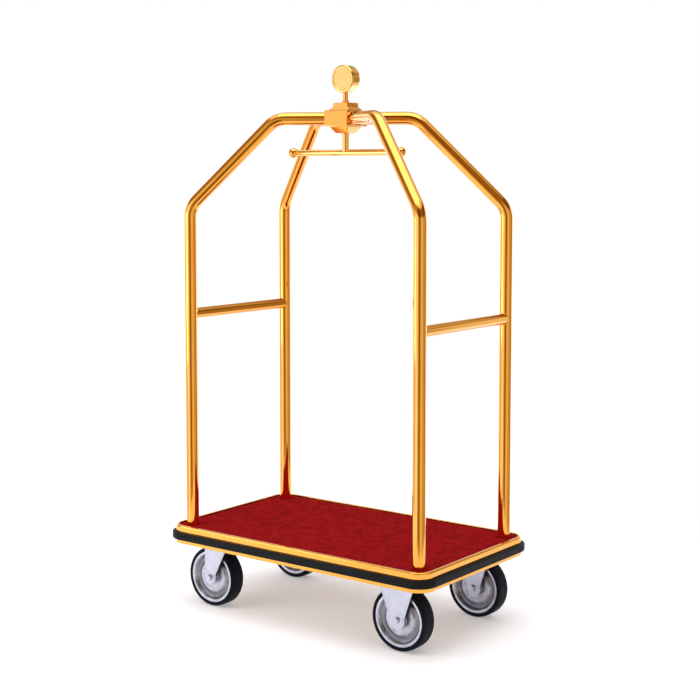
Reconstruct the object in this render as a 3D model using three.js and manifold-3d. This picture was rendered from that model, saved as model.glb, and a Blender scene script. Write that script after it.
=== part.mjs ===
// Hotel luggage cart, birdcage style: a carpeted deck with a gold rim and a rubber bumper, four bent
// gold posts that meet in a hub under a disc finial, a hanging rail, two swivel and two fixed casters.
//
// Millimetres. +Z is up, +X is the cart's long axis, and -Y is its front long side. The origin is on
// the floor under the middle of the deck. "left" is -X, where the swivel casters are.

import * as THREE from 'three';
import { mergeVertices } from 'three/addons/utils/BufferGeometryUtils.js';
import Module from 'manifold-3d';

const wasm = await Module();
wasm.setup();

// ---------------------------------------------------------------- driving dimensions

const GAP = 0.3; // between neighbouring solids
const BEYOND = 5; // how far a cutter reaches past what it cuts

// deck
const RIM_HALF_LENGTH = 528;
const RIM_HALF_WIDTH = 308;
const RIM_CORNER = 55;
const RIM_BOTTOM = 217;
const RIM_TOP = 279;
const RIM_WALL = 3;
const RIM_LIP = 11; // its width on top, round the carpet
const RIM_LIP_THICKNESS = 3;
const RIM_EDGE = 2;
const CARPET_TOP = 275;
const CARPET_THICKNESS = 3;
const BOARD_THICKNESS = 18;
const BUMPER_BOTTOM = 230.5;
const BUMPER_HEIGHT = 27;
const BUMPER_DEPTH = 12;
const BUMPER_ROUND = 9;

// birdcage
const POST_X = 471.5;
const POST_Y = 250;
const POST_DIAMETER = 42.4;
const POST_WALL = 1.5;
const POST_BEND_RADIUS = 80;
const SHOULDER_HEIGHT = 1366; // where the vertical and the slanted axis cross
const HUB_HEIGHT = 1661.5; // axis of the level arms and middle of the hub
const SLANT_END = 0.442; // where the slanted and the level axis cross, as a share of the post's reach
const CROSSBAR_DIAMETER = 36;
const CROSSBAR_HEIGHT = 1004;
const PLUG_LENGTH = 42;
const STUD_DIAMETER = 12;
const STUD_BELOW_BOARD = 13;

// hub, finial and hanging rail
const HUB_X = 96;
const HUB_Y = 112;
const HUB_Z = 53;
const HUB_EDGE = 2;
const HUB_WALL = 7;
const CAP_TOP_HEIGHT = 25;
const CAP_TOP_SIDES = [82, 65, 62, 56]; // square sides, from its foot to its top
const CAP_TOP_STEP = 10; // height of its step
const CAP_BOTTOM_HEIGHT = 22;
const CAP_BOTTOM_SIDES = [48, 76];
const TIE_DIAMETER = 10;
const FINIAL_DIAMETER = 92;
const FINIAL_THICKNESS = 42;
const FINIAL_HEIGHT = 1791;
const FINIAL_STEM_DIAMETER = 18;
const FINIAL_SOCKET = 10; // how deep the stem sits in the disc
const TIE_IN_STEM = 18; // how deep the tie rod sits in the rail's stem
const RAIL_HEIGHT = 1549;
const RAIL_DIAMETER = 21;
const RAIL_BALL_X = 222;
const RAIL_BALL_DIAMETER = 34;
const RAIL_IN_BALL = 13; // how deep the rail sits in its balls
const RAIL_STEM_DIAMETER = 24;

// casters
const WHEEL_X = 392;
const WHEEL_Y = 219;
const WHEEL_RADIUS = 101.5;
const TYRE_WIDTH = 58;
const DISC_RADIUS = 88;
const DISC_WIDTH = 52;
const DISC_SHEET = 2.6;
const HUB_PLATE = 17; // inner face of the wheel's flat middle, from its mid plane
const GROOVE = 15; // outer face of the groove around it
const SLEEVE_RADIUS = 13.7;
const SLEEVE_LENGTH = 63;
const AXLE_DIAMETER = 12;
const HEX_ACROSS = 19; // bolt heads and nuts
const HEAD_HEIGHT = 8;
const NUT_HEIGHT = 9;
const THREAD_END = 3; // thread that shows past a nut
const TRAIL = 35; // how far a swivel wheel's axle trails its kingpin
const PLATE_TOP = 238;
const PLATE_THICKNESS = 4;
const PLATE_X = 140;
const PLATE_Y = 100;
const PLATE_CORNER = 10;
const RACE_RADIUS = 34;
const RACE_HEIGHT = 7.7;
const KINGPIN_DIAMETER = 12;
const KINGPIN_HEAD = 20;
const FORK_SHEET = 3.5;
const FORK_GAP = 65; // inside, between the legs
const FORK_SHOULDER = 14; // inner radius of the bend at the top of each leg
const FORK_TAPER_TOP = 213;
const FORK_TAPER_END = 12; // above the axle
const SWIVEL_LEG = { left: -20, right: 82, footLeft: -20, footRight: 27 };
const FIXED_LEG = { left: -66, right: 66, footLeft: -30, footRight: 30 };
const CHANNEL_X = 140;
const CHANNEL_SHEET = 2.5;

// how finely round shapes are divided
const ROUND_LARGE = 24;
const ROUND_MEDIUM = 16;
const ROUND_SMALL = 12;
const CORNER_STEPS = 4;
const BEND_STEPS = 3;

// ---------------------------------------------------------------- finishes

const FINISHES = {
  gold: { color: 0xe2a83c, roughness: 0.12, metalness: 1 },
  carpet: { color: 0x8e1319, roughness: 0.95, metalness: 0 },
  plywood: { color: 0xb98a55, roughness: 0.7, metalness: 0 },
  rubber: { color: 0x1c2022, roughness: 0.6, metalness: 0 },
  zinc: { color: 0xc4c7d2, roughness: 0.3, metalness: 1 },
  steel: { color: 0x8f9296, roughness: 0.4, metalness: 1 },
};

const cart = new THREE.Group();

function addPart(name, finish, geometry, x = 0, y = 0, z = 0) {
  const mesh = new THREE.Mesh(geometry, new THREE.MeshStandardMaterial(FINISHES[finish]));
  mesh.name = name;
  mesh.position.set(x, y, z);
  cart.add(mesh);
  return mesh;
}

// ---------------------------------------------------------------- solids

function toSolid(geometry) {
  const bare = geometry.clone();
  for (const name of ['normal', 'uv', 'uv1', 'color']) bare.deleteAttribute(name);
  const merged = mergeVertices(bare, 1e-3);
  const solid = new wasm.Manifold(new wasm.Mesh({
    numProp: 3,
    vertProperties: new Float32Array(merged.attributes.position.array),
    triVerts: new Uint32Array(merged.index.array),
  }));
  if (solid.status() !== 'NoError') throw new Error(`not a closed solid: ${solid.status()}`);
  return solid;
}

function toGeometry(solid) {
  const mesh = solid.getMesh();
  const geometry = new THREE.BufferGeometry();
  geometry.setAttribute('position', new THREE.BufferAttribute(new Float32Array(mesh.vertProperties), 3));
  geometry.setIndex(new THREE.BufferAttribute(new Uint32Array(mesh.triVerts), 1));
  geometry.computeVertexNormals();
  return geometry;
}

function cut(geometry, ...tools) {
  let solid = toSolid(geometry);
  for (const tool of tools) solid = solid.subtract(toSolid(tool));
  return toGeometry(solid);
}

function join(geometry, ...others) {
  let solid = toSolid(geometry);
  for (const other of others) solid = solid.add(toSolid(other));
  return toGeometry(solid);
}

function common(geometry, other) {
  return toGeometry(toSolid(geometry).intersect(toSolid(other)));
}

// ---------------------------------------------------------------- shapes

const X = new THREE.Vector3(1, 0, 0);
const Y = new THREE.Vector3(0, 1, 0);
const Z = new THREE.Vector3(0, 0, 1);

// a shape's own x, y and the direction it is extruded in, as world axes
const FACING = {
  x: new THREE.Matrix4().makeBasis(Y, Z, X),
  y: new THREE.Matrix4().makeBasis(X, Z, Y.clone().negate()),
  z: new THREE.Matrix4().makeBasis(X, Y, Z),
};

// A shape swept from one coordinate to another along an axis. Its own x and y are the world's
// Y and Z along x, X and Z along y, and X and Y along z.
function prism(axis, shape, from, to, steps = CORNER_STEPS) {
  const options = { depth: to - from, bevelEnabled: false, curveSegments: steps };
  const geometry = new THREE.ExtrudeGeometry(shape, options);
  geometry.applyMatrix4(FACING[axis]);
  const start = axis === 'y' ? to : from;
  return geometry.translate(axis === 'x' ? start : 0, axis === 'y' ? start : 0, axis === 'z' ? start : 0);
}

// An upright block with its top and bottom edges rounded over.
function softBlock(shape, from, to, edge, edgeSteps) {
  const geometry = new THREE.ExtrudeGeometry(shape, {
    depth: to - from - 2 * edge,
    bevelThickness: edge,
    bevelSize: edge,
    bevelOffset: -edge,
    bevelSegments: edgeSteps,
    curveSegments: CORNER_STEPS,
  });
  return geometry.translate(0, 0, from + edge);
}

function box(sizeX, sizeY, from, to, x = 0, y = 0) {
  return new THREE.BoxGeometry(sizeX, sizeY, to - from).translate(x, y, (from + to) / 2);
}

function roundedRectangle(halfX, halfY, radius) {
  const shape = new THREE.Shape();
  const cornerX = halfX - radius;
  const cornerY = halfY - radius;
  shape.absarc(cornerX, -cornerY, radius, -Math.PI / 2, 0);
  shape.absarc(cornerX, cornerY, radius, 0, Math.PI / 2);
  shape.absarc(-cornerX, cornerY, radius, Math.PI / 2, Math.PI);
  shape.absarc(-cornerX, -cornerY, radius, Math.PI, 1.5 * Math.PI);
  shape.closePath();
  return shape;
}

function polygon(points) {
  return new THREE.Shape(points.map(([x, y]) => new THREE.Vector2(x, y)));
}

// A regular polygon with a flat side facing down, its sides at the given distance from the middle.
function evenPolygon(sides, apothem) {
  const radius = apothem / Math.cos(Math.PI / sides);
  const corner = (i) => (i + 0.5) * 2 * Math.PI / sides - Math.PI / 2;
  return polygon(Array.from({ length: sides }, (_, i) => [
    radius * Math.cos(corner(i)),
    radius * Math.sin(corner(i)),
  ]));
}

// A round bar or a bore's cutter along an axis, through the given point.
function rod(axis, diameter, from, to, sides, across = 0, up = 0) {
  const bar = prism(axis, evenPolygon(sides, diameter / 2), from, to);
  const [x, y, z] = { x: [0, across, up], y: [across, 0, up], z: [across, up, 0] }[axis];
  return bar.translate(x, y, z);
}

// A turned piece about the Z axis: [radius, height] points. The first and last are both on the axis,
// or the outline closes on itself.
function turned(points, sides) {
  const closed = points[0][0] === 0 ? points : [...points, points[0]];
  const outline = closed.map(([r, z]) => new THREE.Vector2(r, z));
  return new THREE.LatheGeometry(outline, sides, Math.PI / sides).rotateX(Math.PI / 2);
}

// ---------------------------------------------------------------- bent tubes

// A path through fixed stations, one per step, so that straight stretches take no extra rings.
class StationPath extends THREE.Curve {
  constructor(stations) {
    super();
    this.stations = stations;
  }

  getPoint(t, target = new THREE.Vector3()) {
    const place = t * (this.stations.length - 1);
    const index = Math.min(Math.floor(place), this.stations.length - 2);
    return target.lerpVectors(this.stations[index], this.stations[index + 1], place - index);
  }

  getUtoTmapping(u) {
    return u;
  }
}

// Replaces a corner of a polyline by an arc, as a list of stations.
function bendStations(before, corner, after, radius) {
  const into = new THREE.Vector3().subVectors(corner, before).normalize();
  const out = new THREE.Vector3().subVectors(after, corner).normalize();
  const angle = into.angleTo(out);
  const start = corner.clone().addScaledVector(into, -radius * Math.tan(angle / 2));
  const inward = out.clone().addScaledVector(into, -into.dot(out)).normalize();
  return Array.from({ length: BEND_STEPS + 1 }, (_, i) => {
    const turn = angle * i / BEND_STEPS;
    return start.clone()
      .addScaledVector(into, radius * Math.sin(turn))
      .addScaledVector(inward, radius * (1 - Math.cos(turn)));
  });
}

function ringSection(diameter, wall, sides) {
  const section = evenPolygon(sides, diameter / 2);
  section.holes.push(new THREE.Path(evenPolygon(sides, diameter / 2 - wall).getPoints().reverse()));
  return section;
}

// ---------------------------------------------------------------- deck

// Four upright holes, one on each post's axis.
function holesAtPosts(diameter, sides) {
  return [[-1, -1], [-1, 1], [1, -1], [1, 1]].map(([sideX, sideY]) => (
    rod('z', diameter, RIM_BOTTOM, RIM_TOP, sides).translate(sideX * POST_X, sideY * POST_Y, 0)
  ));
}

const studHole = STUD_DIAMETER + 2 * GAP;
const postHole = POST_DIAMETER / Math.cos(Math.PI / ROUND_MEDIUM) + 2 * GAP;

function rimOutline(inset) {
  return roundedRectangle(RIM_HALF_LENGTH - inset, RIM_HALF_WIDTH - inset, RIM_CORNER - inset);
}

const carpetBottom = CARPET_TOP - CARPET_THICKNESS;
const boardTop = carpetBottom - GAP;
const boardBottom = boardTop - BOARD_THICKNESS;

addPart('rim_frame', 'gold', cut(
  softBlock(rimOutline(0), RIM_BOTTOM, RIM_TOP, RIM_EDGE, 1),
  prism('z', rimOutline(RIM_WALL), RIM_BOTTOM - BEYOND, RIM_TOP - RIM_LIP_THICKNESS),
  prism('z', rimOutline(RIM_LIP), RIM_BOTTOM, RIM_TOP + BEYOND),
));

const bumperTop = BUMPER_BOTTOM + BUMPER_HEIGHT;
addPart('bumper_strip', 'rubber', cut(
  softBlock(rimOutline(-BUMPER_DEPTH), BUMPER_BOTTOM, bumperTop, BUMPER_ROUND, 2),
  prism('z', rimOutline(-GAP), BUMPER_BOTTOM - BEYOND, bumperTop + BEYOND),
));

addPart('deck_board', 'plywood', cut(
  prism('z', rimOutline(RIM_WALL + GAP), boardBottom, boardTop),
  ...holesAtPosts(studHole, ROUND_SMALL),
));

// The carpet is cut to the lip's inner edge and round the posts, which stand on the board.
addPart('carpet', 'carpet', cut(
  prism('z', rimOutline(RIM_LIP + GAP), carpetBottom, CARPET_TOP),
  ...holesAtPosts(postHole, ROUND_MEDIUM),
));

// Pressed channels under the board, web down, welded between the long walls of the rim. The casters
// bolt to the webs.
const channelBottom = PLATE_TOP + GAP;
const channelTop = boardBottom - GAP;
const channelHalfLength = RIM_HALF_WIDTH - RIM_WALL - GAP;
const channelSection = polygon([
  [-CHANNEL_X / 2, channelBottom],
  [CHANNEL_X / 2, channelBottom],
  [CHANNEL_X / 2, channelTop],
  [CHANNEL_X / 2 - CHANNEL_SHEET, channelTop],
  [CHANNEL_X / 2 - CHANNEL_SHEET, channelBottom + CHANNEL_SHEET],
  [-CHANNEL_X / 2 + CHANNEL_SHEET, channelBottom + CHANNEL_SHEET],
  [-CHANNEL_X / 2 + CHANNEL_SHEET, channelTop],
  [-CHANNEL_X / 2, channelTop],
]);
const channels = { left: TRAIL - WHEEL_X, middle: 0, right: WHEEL_X };
for (const [place, x] of Object.entries(channels)) {
  const channel = prism('y', channelSection, -channelHalfLength, channelHalfLength);
  addPart(`cross_channel_${place}`, 'steel', channel, x);
}

// ---------------------------------------------------------------- birdcage

const hubHalfX = HUB_X / 2;

function postTube(sideX, sideY) {
  const at = (share, height) => new THREE.Vector3(sideX * POST_X * share, sideY * POST_Y * share, height);
  const foot = at(1, boardTop + GAP);
  const shoulder = at(1, SHOULDER_HEIGHT);
  const knee = at(SLANT_END, HUB_HEIGHT);
  const end = at(0.5 * hubHalfX / POST_X, HUB_HEIGHT);
  const stations = [
    foot,
    ...bendStations(foot, shoulder, knee, POST_BEND_RADIUS),
    ...bendStations(shoulder, knee, end, POST_BEND_RADIUS),
    end,
  ];
  const tube = new THREE.ExtrudeGeometry(ringSection(POST_DIAMETER, POST_WALL, ROUND_MEDIUM), {
    extrudePath: new StationPath(stations),
    steps: stations.length - 1,
    bevelEnabled: false,
  });
  return cut(tube, box(HUB_X + 2 * GAP, HUB_Y, HUB_HEIGHT - HUB_Z, HUB_HEIGHT + HUB_Z));
}

function postPlug() {
  const radius = POST_DIAMETER / 2 - POST_WALL - GAP;
  const bottom = boardTop + GAP;
  const studEnd = boardBottom - STUD_BELOW_BOARD;
  return turned([
    [0, studEnd],
    [STUD_DIAMETER / 2, studEnd],
    [STUD_DIAMETER / 2, bottom],
    [radius, bottom],
    [radius, bottom + PLUG_LENGTH],
    [0, bottom + PLUG_LENGTH],
  ], ROUND_MEDIUM);
}

for (const [frontBack, sideY] of [['front', -1], ['back', 1]]) {
  for (const [leftRight, sideX] of [['left', -1], ['right', 1]]) {
    addPart(`post_${frontBack}_${leftRight}`, 'gold', postTube(sideX, sideY));
    addPart(`post_plug_${frontBack}_${leftRight}`, 'steel', postPlug(), sideX * POST_X, sideY * POST_Y);
  }
}

function crossbar() {
  const tube = prism('y', ringSection(CROSSBAR_DIAMETER, POST_WALL, ROUND_MEDIUM), -POST_Y, POST_Y);
  const saddles = [-POST_Y, POST_Y].map((y) => (
    rod('z', POST_DIAMETER + 2 * GAP, -CROSSBAR_DIAMETER, CROSSBAR_DIAMETER, ROUND_MEDIUM, 0, y)
  ));
  return cut(tube, ...saddles);
}

addPart('crossbar_left', 'gold', crossbar(), -POST_X, 0, CROSSBAR_HEIGHT);
addPart('crossbar_right', 'gold', crossbar(), POST_X, 0, CROSSBAR_HEIGHT);

// ---------------------------------------------------------------- hub and finial

const hubTop = HUB_HEIGHT + HUB_Z / 2;
const hubBottom = HUB_HEIGHT - HUB_Z / 2;
const capTop = hubTop + CAP_TOP_HEIGHT;
const capBottom = hubBottom - CAP_BOTTOM_HEIGHT;
const tieEnd = capBottom - TIE_IN_STEM;
const tieBore = rod('z', TIE_DIAMETER + 2 * GAP, tieEnd - GAP, capTop + BEYOND, ROUND_SMALL);

// A stepped square block: [side, height] from bottom to top.
function squareTurned(steps) {
  const corner = (side) => side / Math.SQRT2;
  const outline = steps.map(([side, z]) => [corner(side), z]);
  return turned([[0, steps[0][1]], ...outline, [0, steps.at(-1)[1]]], 4);
}

addPart('hub_body', 'gold', cut(
  softBlock(polygon([
    [-hubHalfX, -HUB_Y / 2],
    [hubHalfX, -HUB_Y / 2],
    [hubHalfX, HUB_Y / 2],
    [-hubHalfX, HUB_Y / 2],
  ]), hubBottom, hubTop, HUB_EDGE, 1),
  box(HUB_X - 2 * HUB_WALL, HUB_Y - 2 * HUB_WALL, hubBottom - BEYOND, hubTop - HUB_WALL),
  tieBore,
));

addPart('hub_cap_top', 'gold', cut(squareTurned([
  [CAP_TOP_SIDES[0], hubTop + GAP],
  [CAP_TOP_SIDES[1], hubTop + CAP_TOP_STEP],
  [CAP_TOP_SIDES[2], hubTop + CAP_TOP_STEP + GAP],
  [CAP_TOP_SIDES[3], capTop],
]), tieBore));

addPart('hub_cap_bottom', 'gold', cut(squareTurned([
  [CAP_BOTTOM_SIDES[0], capBottom],
  [CAP_BOTTOM_SIDES[1], hubBottom - GAP],
]), tieBore));

// The finial's stem has a collar on the cap, and a tie rod below it that holds hub, caps and rail stem.
const stemTop = FINIAL_HEIGHT - FINIAL_DIAMETER / 2 + FINIAL_SOCKET;
const stemRadius = FINIAL_STEM_DIAMETER / 2;
addPart('finial_stem', 'gold', turned([
  [0, tieEnd],
  [TIE_DIAMETER / 2, tieEnd],
  [TIE_DIAMETER / 2, capTop + GAP],
  [stemRadius + 3, capTop + GAP],
  [stemRadius + 3, capTop + 4],
  [stemRadius, capTop + 7],
  [stemRadius, stemTop],
  [0, stemTop],
], ROUND_MEDIUM));

function finialDisc() {
  const half = FINIAL_THICKNESS / 2;
  const radius = FINIAL_DIAMETER / 2;
  const face = [
    [0, half - 1.2],
    [radius - 12, half - 1.2],
    [radius - 11, half],
    [radius - 6, half],
    [radius - 1.5, half - 3],
    [radius, half - 8],
  ];
  const mirrored = face.map(([r, y]) => [r, -y]).reverse();
  const disc = turned([...face, ...mirrored].reverse(), ROUND_LARGE);
  disc.rotateX(-Math.PI / 2).translate(0, 0, FINIAL_HEIGHT);
  const socketBottom = stemTop - FINIAL_SOCKET - BEYOND;
  return cut(disc, rod('z', FINIAL_STEM_DIAMETER + 2 * GAP, socketBottom, stemTop + GAP, ROUND_MEDIUM));
}

addPart('finial_disc', 'gold', finialDisc());

// ---------------------------------------------------------------- hanging rail

addPart('rail_stem', 'gold', cut(
  rod('z', RAIL_STEM_DIAMETER, RAIL_HEIGHT, capBottom - GAP, ROUND_MEDIUM),
  tieBore,
  rod('x', RAIL_DIAMETER + 2 * GAP, -RAIL_BALL_X, RAIL_BALL_X, ROUND_MEDIUM, 0, RAIL_HEIGHT),
));

const railEnd = RAIL_BALL_X - RAIL_BALL_DIAMETER / 2 + RAIL_IN_BALL;
addPart('hanging_rail', 'gold', rod('x', RAIL_DIAMETER, -railEnd, railEnd, ROUND_MEDIUM, 0, RAIL_HEIGHT));

function railBall(side) {
  const ball = new THREE.SphereGeometry(RAIL_BALL_DIAMETER / 2, ROUND_MEDIUM, 8).rotateZ(Math.PI / 2);
  const socketEnd = railEnd + GAP - RAIL_BALL_X;
  const socket = rod('x', RAIL_DIAMETER + 2 * GAP, -RAIL_BALL_DIAMETER, socketEnd, ROUND_MEDIUM);
  return cut(ball, side > 0 ? socket : socket.rotateZ(Math.PI));
}

addPart('rail_ball_left', 'gold', railBall(-1), -RAIL_BALL_X, 0, RAIL_HEIGHT);
addPart('rail_ball_right', 'gold', railBall(1), RAIL_BALL_X, 0, RAIL_HEIGHT);

// ---------------------------------------------------------------- casters

// Each caster is modelled about its wheel's axle: x and y from the wheel's middle, z from the floor.

// A turned piece about the wheel's axle: [radius, distance along the axle] points.
function turnedOnAxle(points, sides) {
  return turned(points, sides).rotateX(-Math.PI / 2).translate(0, 0, WHEEL_RADIUS);
}

function tyre() {
  const half = TYRE_WIDTH / 2;
  const outer = WHEEL_RADIUS / Math.cos(Math.PI / ROUND_LARGE);
  const inner = DISC_RADIUS + 2 * GAP;
  const side = [
    [inner, half - 2],
    [inner + 4, half],
    [outer - 4, half - 3],
    [outer, half - 11],
  ];
  return turnedOnAxle([...side.map(([r, y]) => [r, -y]), ...side.reverse()], ROUND_LARGE);
}

// One pressed half of the wheel: a flat hub plate, a groove and a raised outer ring. side is -1 or 1.
function wheelDisc(side) {
  const half = DISC_WIDTH / 2;
  const section = [
    [SLEEVE_RADIUS + GAP, HUB_PLATE],
    [SLEEVE_RADIUS + GAP, HUB_PLATE + DISC_SHEET],
    [51, HUB_PLATE + DISC_SHEET],
    [60, GROOVE],
    [72, GROOVE],
    [80, half],
    [DISC_RADIUS, half],
    [DISC_RADIUS, GAP],
    [DISC_RADIUS - DISC_SHEET, GAP],
    [DISC_RADIUS - DISC_SHEET, half - DISC_SHEET],
    [81.5, half - DISC_SHEET],
    [73.5, GROOVE - DISC_SHEET],
    [59, GROOVE - DISC_SHEET],
    [50, HUB_PLATE],
  ];
  const placed = section.map(([r, y]) => [r, side * y]);
  return turnedOnAxle(side > 0 ? placed.reverse() : placed, ROUND_MEDIUM);
}

function wheelSleeve() {
  const half = SLEEVE_LENGTH / 2;
  const bore = AXLE_DIAMETER / 2 + 3 * GAP;
  return turnedOnAxle([
    [bore, -half],
    [SLEEVE_RADIUS, -half],
    [SLEEVE_RADIUS, half],
    [bore, half],
  ], ROUND_SMALL);
}

// The axle bolt with its head at the front and its nut at the back.
function axleBolt() {
  const face = FORK_GAP / 2 + FORK_SHEET + GAP;
  const end = face + NUT_HEIGHT + THREAD_END;
  return join(
    rod('y', AXLE_DIAMETER, -face - GAP, end, ROUND_SMALL, 0, WHEEL_RADIUS),
    rod('y', HEX_ACROSS, -face - HEAD_HEIGHT, -face, 6, 0, WHEEL_RADIUS),
    rod('y', HEX_ACROSS, face, face + NUT_HEIGHT, 6, 0, WHEEL_RADIUS),
  );
}

// A pressed fork: a U-shaped sheet, cut to the outline that its legs show from the side.
function fork(outline, top) {
  const inner = FORK_GAP / 2;
  const outer = inner + FORK_SHEET;
  const bend = FORK_SHOULDER + FORK_SHEET;
  const profile = new THREE.Shape();
  profile.moveTo(-outer, 0);
  profile.lineTo(-inner, 0);
  profile.absarc(-outer + bend, top - bend, FORK_SHOULDER, Math.PI, Math.PI / 2, true);
  profile.absarc(outer - bend, top - bend, FORK_SHOULDER, Math.PI / 2, 0, true);
  profile.lineTo(inner, 0);
  profile.lineTo(outer, 0);
  profile.absarc(outer - bend, top - bend, bend, 0, Math.PI / 2);
  profile.absarc(-outer + bend, top - bend, bend, Math.PI / 2, Math.PI);
  profile.closePath();
  const sheet = prism('x', profile, -PLATE_X, PLATE_X, 3);
  const legs = common(sheet, prism('y', outline, -outer - BEYOND, outer + BEYOND));
  return cut(legs, rod('y', AXLE_DIAMETER + 2 * GAP, -PLATE_Y, PLATE_Y, ROUND_SMALL, 0, WHEEL_RADIUS));
}

// A leg's outline from the side: straight down from the top, tapered to a round end at the axle.
function legOutline({ left, right, footLeft, footRight }, top) {
  const shape = new THREE.Shape();
  const taperEnd = WHEEL_RADIUS + FORK_TAPER_END;
  shape.moveTo(right, top);
  shape.lineTo(left, top);
  shape.lineTo(left, FORK_TAPER_TOP);
  shape.lineTo(footLeft, taperEnd);
  shape.absarc((footLeft + footRight) / 2, WHEEL_RADIUS, (footRight - footLeft) / 2, Math.PI, 2 * Math.PI);
  shape.lineTo(footRight, taperEnd);
  shape.lineTo(right, FORK_TAPER_TOP);
  shape.closePath();
  return shape;
}

const plateBottom = PLATE_TOP - PLATE_THICKNESS;
const raceTop = plateBottom - GAP;
const swivelForkTop = raceTop - RACE_HEIGHT - GAP;

function swivelFork() {
  const pinHole = rod('z', KINGPIN_DIAMETER + 4 * GAP, FORK_TAPER_TOP, PLATE_TOP, ROUND_MEDIUM, TRAIL);
  return cut(fork(legOutline(SWIVEL_LEG, swivelForkTop), swivelForkTop), pinHole);
}

function swivelRace() {
  const bottom = raceTop - RACE_HEIGHT;
  return turned([
    [KINGPIN_DIAMETER / 2 + GAP, bottom],
    [RACE_RADIUS - 5, bottom],
    [RACE_RADIUS, bottom + 3],
    [RACE_RADIUS, raceTop],
    [KINGPIN_DIAMETER / 2 + GAP, raceTop],
  ], ROUND_MEDIUM);
}

function kingpin() {
  const nutTop = swivelForkTop - FORK_SHEET - GAP;
  return join(
    rod('z', KINGPIN_DIAMETER, nutTop - NUT_HEIGHT - GAP, PLATE_TOP - GAP, ROUND_MEDIUM),
    rod('z', KINGPIN_HEAD, raceTop + GAP, PLATE_TOP - GAP, ROUND_MEDIUM),
    rod('z', HEX_ACROSS, nutTop - NUT_HEIGHT, nutTop, 6),
  );
}

function topPlate() {
  return prism('z', roundedRectangle(PLATE_X / 2, PLATE_Y / 2, PLATE_CORNER), plateBottom, PLATE_TOP, 3);
}

function swivelPlate() {
  const pinHole = rod('z', KINGPIN_HEAD + 2 * GAP, plateBottom - BEYOND, PLATE_TOP + BEYOND, ROUND_MEDIUM);
  return cut(topPlate(), pinHole);
}

function fixedFork() {
  return join(fork(legOutline(FIXED_LEG, PLATE_TOP), PLATE_TOP), topPlate());
}

for (const [frontBack, sideY] of [['front', -1], ['back', 1]]) {
  for (const [leftRight, sideX] of [['left', -1], ['right', 1]]) {
    const corner = `${frontBack}_${leftRight}`;
    const x = sideX * WHEEL_X;
    const y = sideY * WHEEL_Y;
    if (leftRight === 'left') {
      addPart(`caster_plate_${corner}`, 'zinc', swivelPlate(), x + TRAIL, y);
      addPart(`swivel_race_${corner}`, 'zinc', swivelRace(), x + TRAIL, y);
      addPart(`kingpin_${corner}`, 'zinc', kingpin(), x + TRAIL, y);
      addPart(`swivel_fork_${corner}`, 'zinc', swivelFork(), x, y);
    } else {
      addPart(`fixed_fork_${corner}`, 'zinc', fixedFork(), x, y);
    }
    addPart(`axle_bolt_${corner}`, 'zinc', axleBolt(), x, y);
    addPart(`wheel_sleeve_${corner}`, 'steel', wheelSleeve(), x, y);
    addPart(`wheel_disc_outer_${corner}`, 'zinc', wheelDisc(sideY), x, y);
    addPart(`wheel_disc_inner_${corner}`, 'zinc', wheelDisc(-sideY), x, y);
    addPart(`tyre_${corner}`, 'rubber', tyre(), x, y);
  }
}

export default cart;
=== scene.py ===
import math
import random

import bmesh
import bpy
from mathutils import Matrix, Vector


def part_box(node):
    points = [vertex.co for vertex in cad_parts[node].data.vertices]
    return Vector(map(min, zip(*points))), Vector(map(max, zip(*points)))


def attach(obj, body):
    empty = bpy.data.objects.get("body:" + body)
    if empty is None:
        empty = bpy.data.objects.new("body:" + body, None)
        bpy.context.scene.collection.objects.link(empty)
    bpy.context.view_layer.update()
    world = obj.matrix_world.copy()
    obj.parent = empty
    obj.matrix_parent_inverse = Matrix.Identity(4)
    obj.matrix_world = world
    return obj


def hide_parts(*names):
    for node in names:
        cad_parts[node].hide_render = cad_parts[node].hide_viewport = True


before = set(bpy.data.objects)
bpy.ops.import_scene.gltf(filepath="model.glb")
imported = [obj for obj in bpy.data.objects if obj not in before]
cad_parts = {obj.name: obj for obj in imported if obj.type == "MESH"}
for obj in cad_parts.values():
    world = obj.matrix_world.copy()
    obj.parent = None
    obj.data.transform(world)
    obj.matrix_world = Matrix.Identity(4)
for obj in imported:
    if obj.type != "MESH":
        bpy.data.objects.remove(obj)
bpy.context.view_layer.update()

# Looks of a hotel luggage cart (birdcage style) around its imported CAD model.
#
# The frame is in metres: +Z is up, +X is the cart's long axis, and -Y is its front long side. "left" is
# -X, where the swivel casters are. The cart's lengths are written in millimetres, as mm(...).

MM = 0.001


def mm(*values):
    """Millimetres as metres: one number, or a tuple of them."""
    scaled = tuple(value * MM for value in values)
    return scaled[0] if len(scaled) == 1 else scaled


def new_object(name, data):
    thing = bpy.data.objects.new(name, data)
    bpy.context.scene.collection.objects.link(thing)
    return thing


# ---------------- camera

CAMERA_PLACE = (2.9224, -3.8341, 1.4944)
CAMERA_YAW = 0.6506  # radians, as is the pitch
CAMERA_PITCH = -0.0813
CAMERA_SENSOR = 36  # millimetres, as is the lens
CAMERA_LENS = 74.39
CAMERA_SHIFT = (0.0048, -0.09)


def add_camera():
    data = bpy.data.cameras.new("camera")
    data.sensor_width = CAMERA_SENSOR
    data.lens = CAMERA_LENS
    data.shift_x, data.shift_y = CAMERA_SHIFT
    camera = new_object("camera", data)
    camera.location = CAMERA_PLACE
    camera.rotation_euler = (math.pi / 2 + CAMERA_PITCH, 0, CAMERA_YAW)
    bpy.context.scene.camera = camera


add_camera()

# ---------------- node helpers

WHEEL_RADIUS = mm(101.5)
DISC_RADIUS = mm(88)
MIDDLE = (-0.5, -0.5, -0.5)  # moves generated coordinates' origin to the middle of a piece


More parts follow.
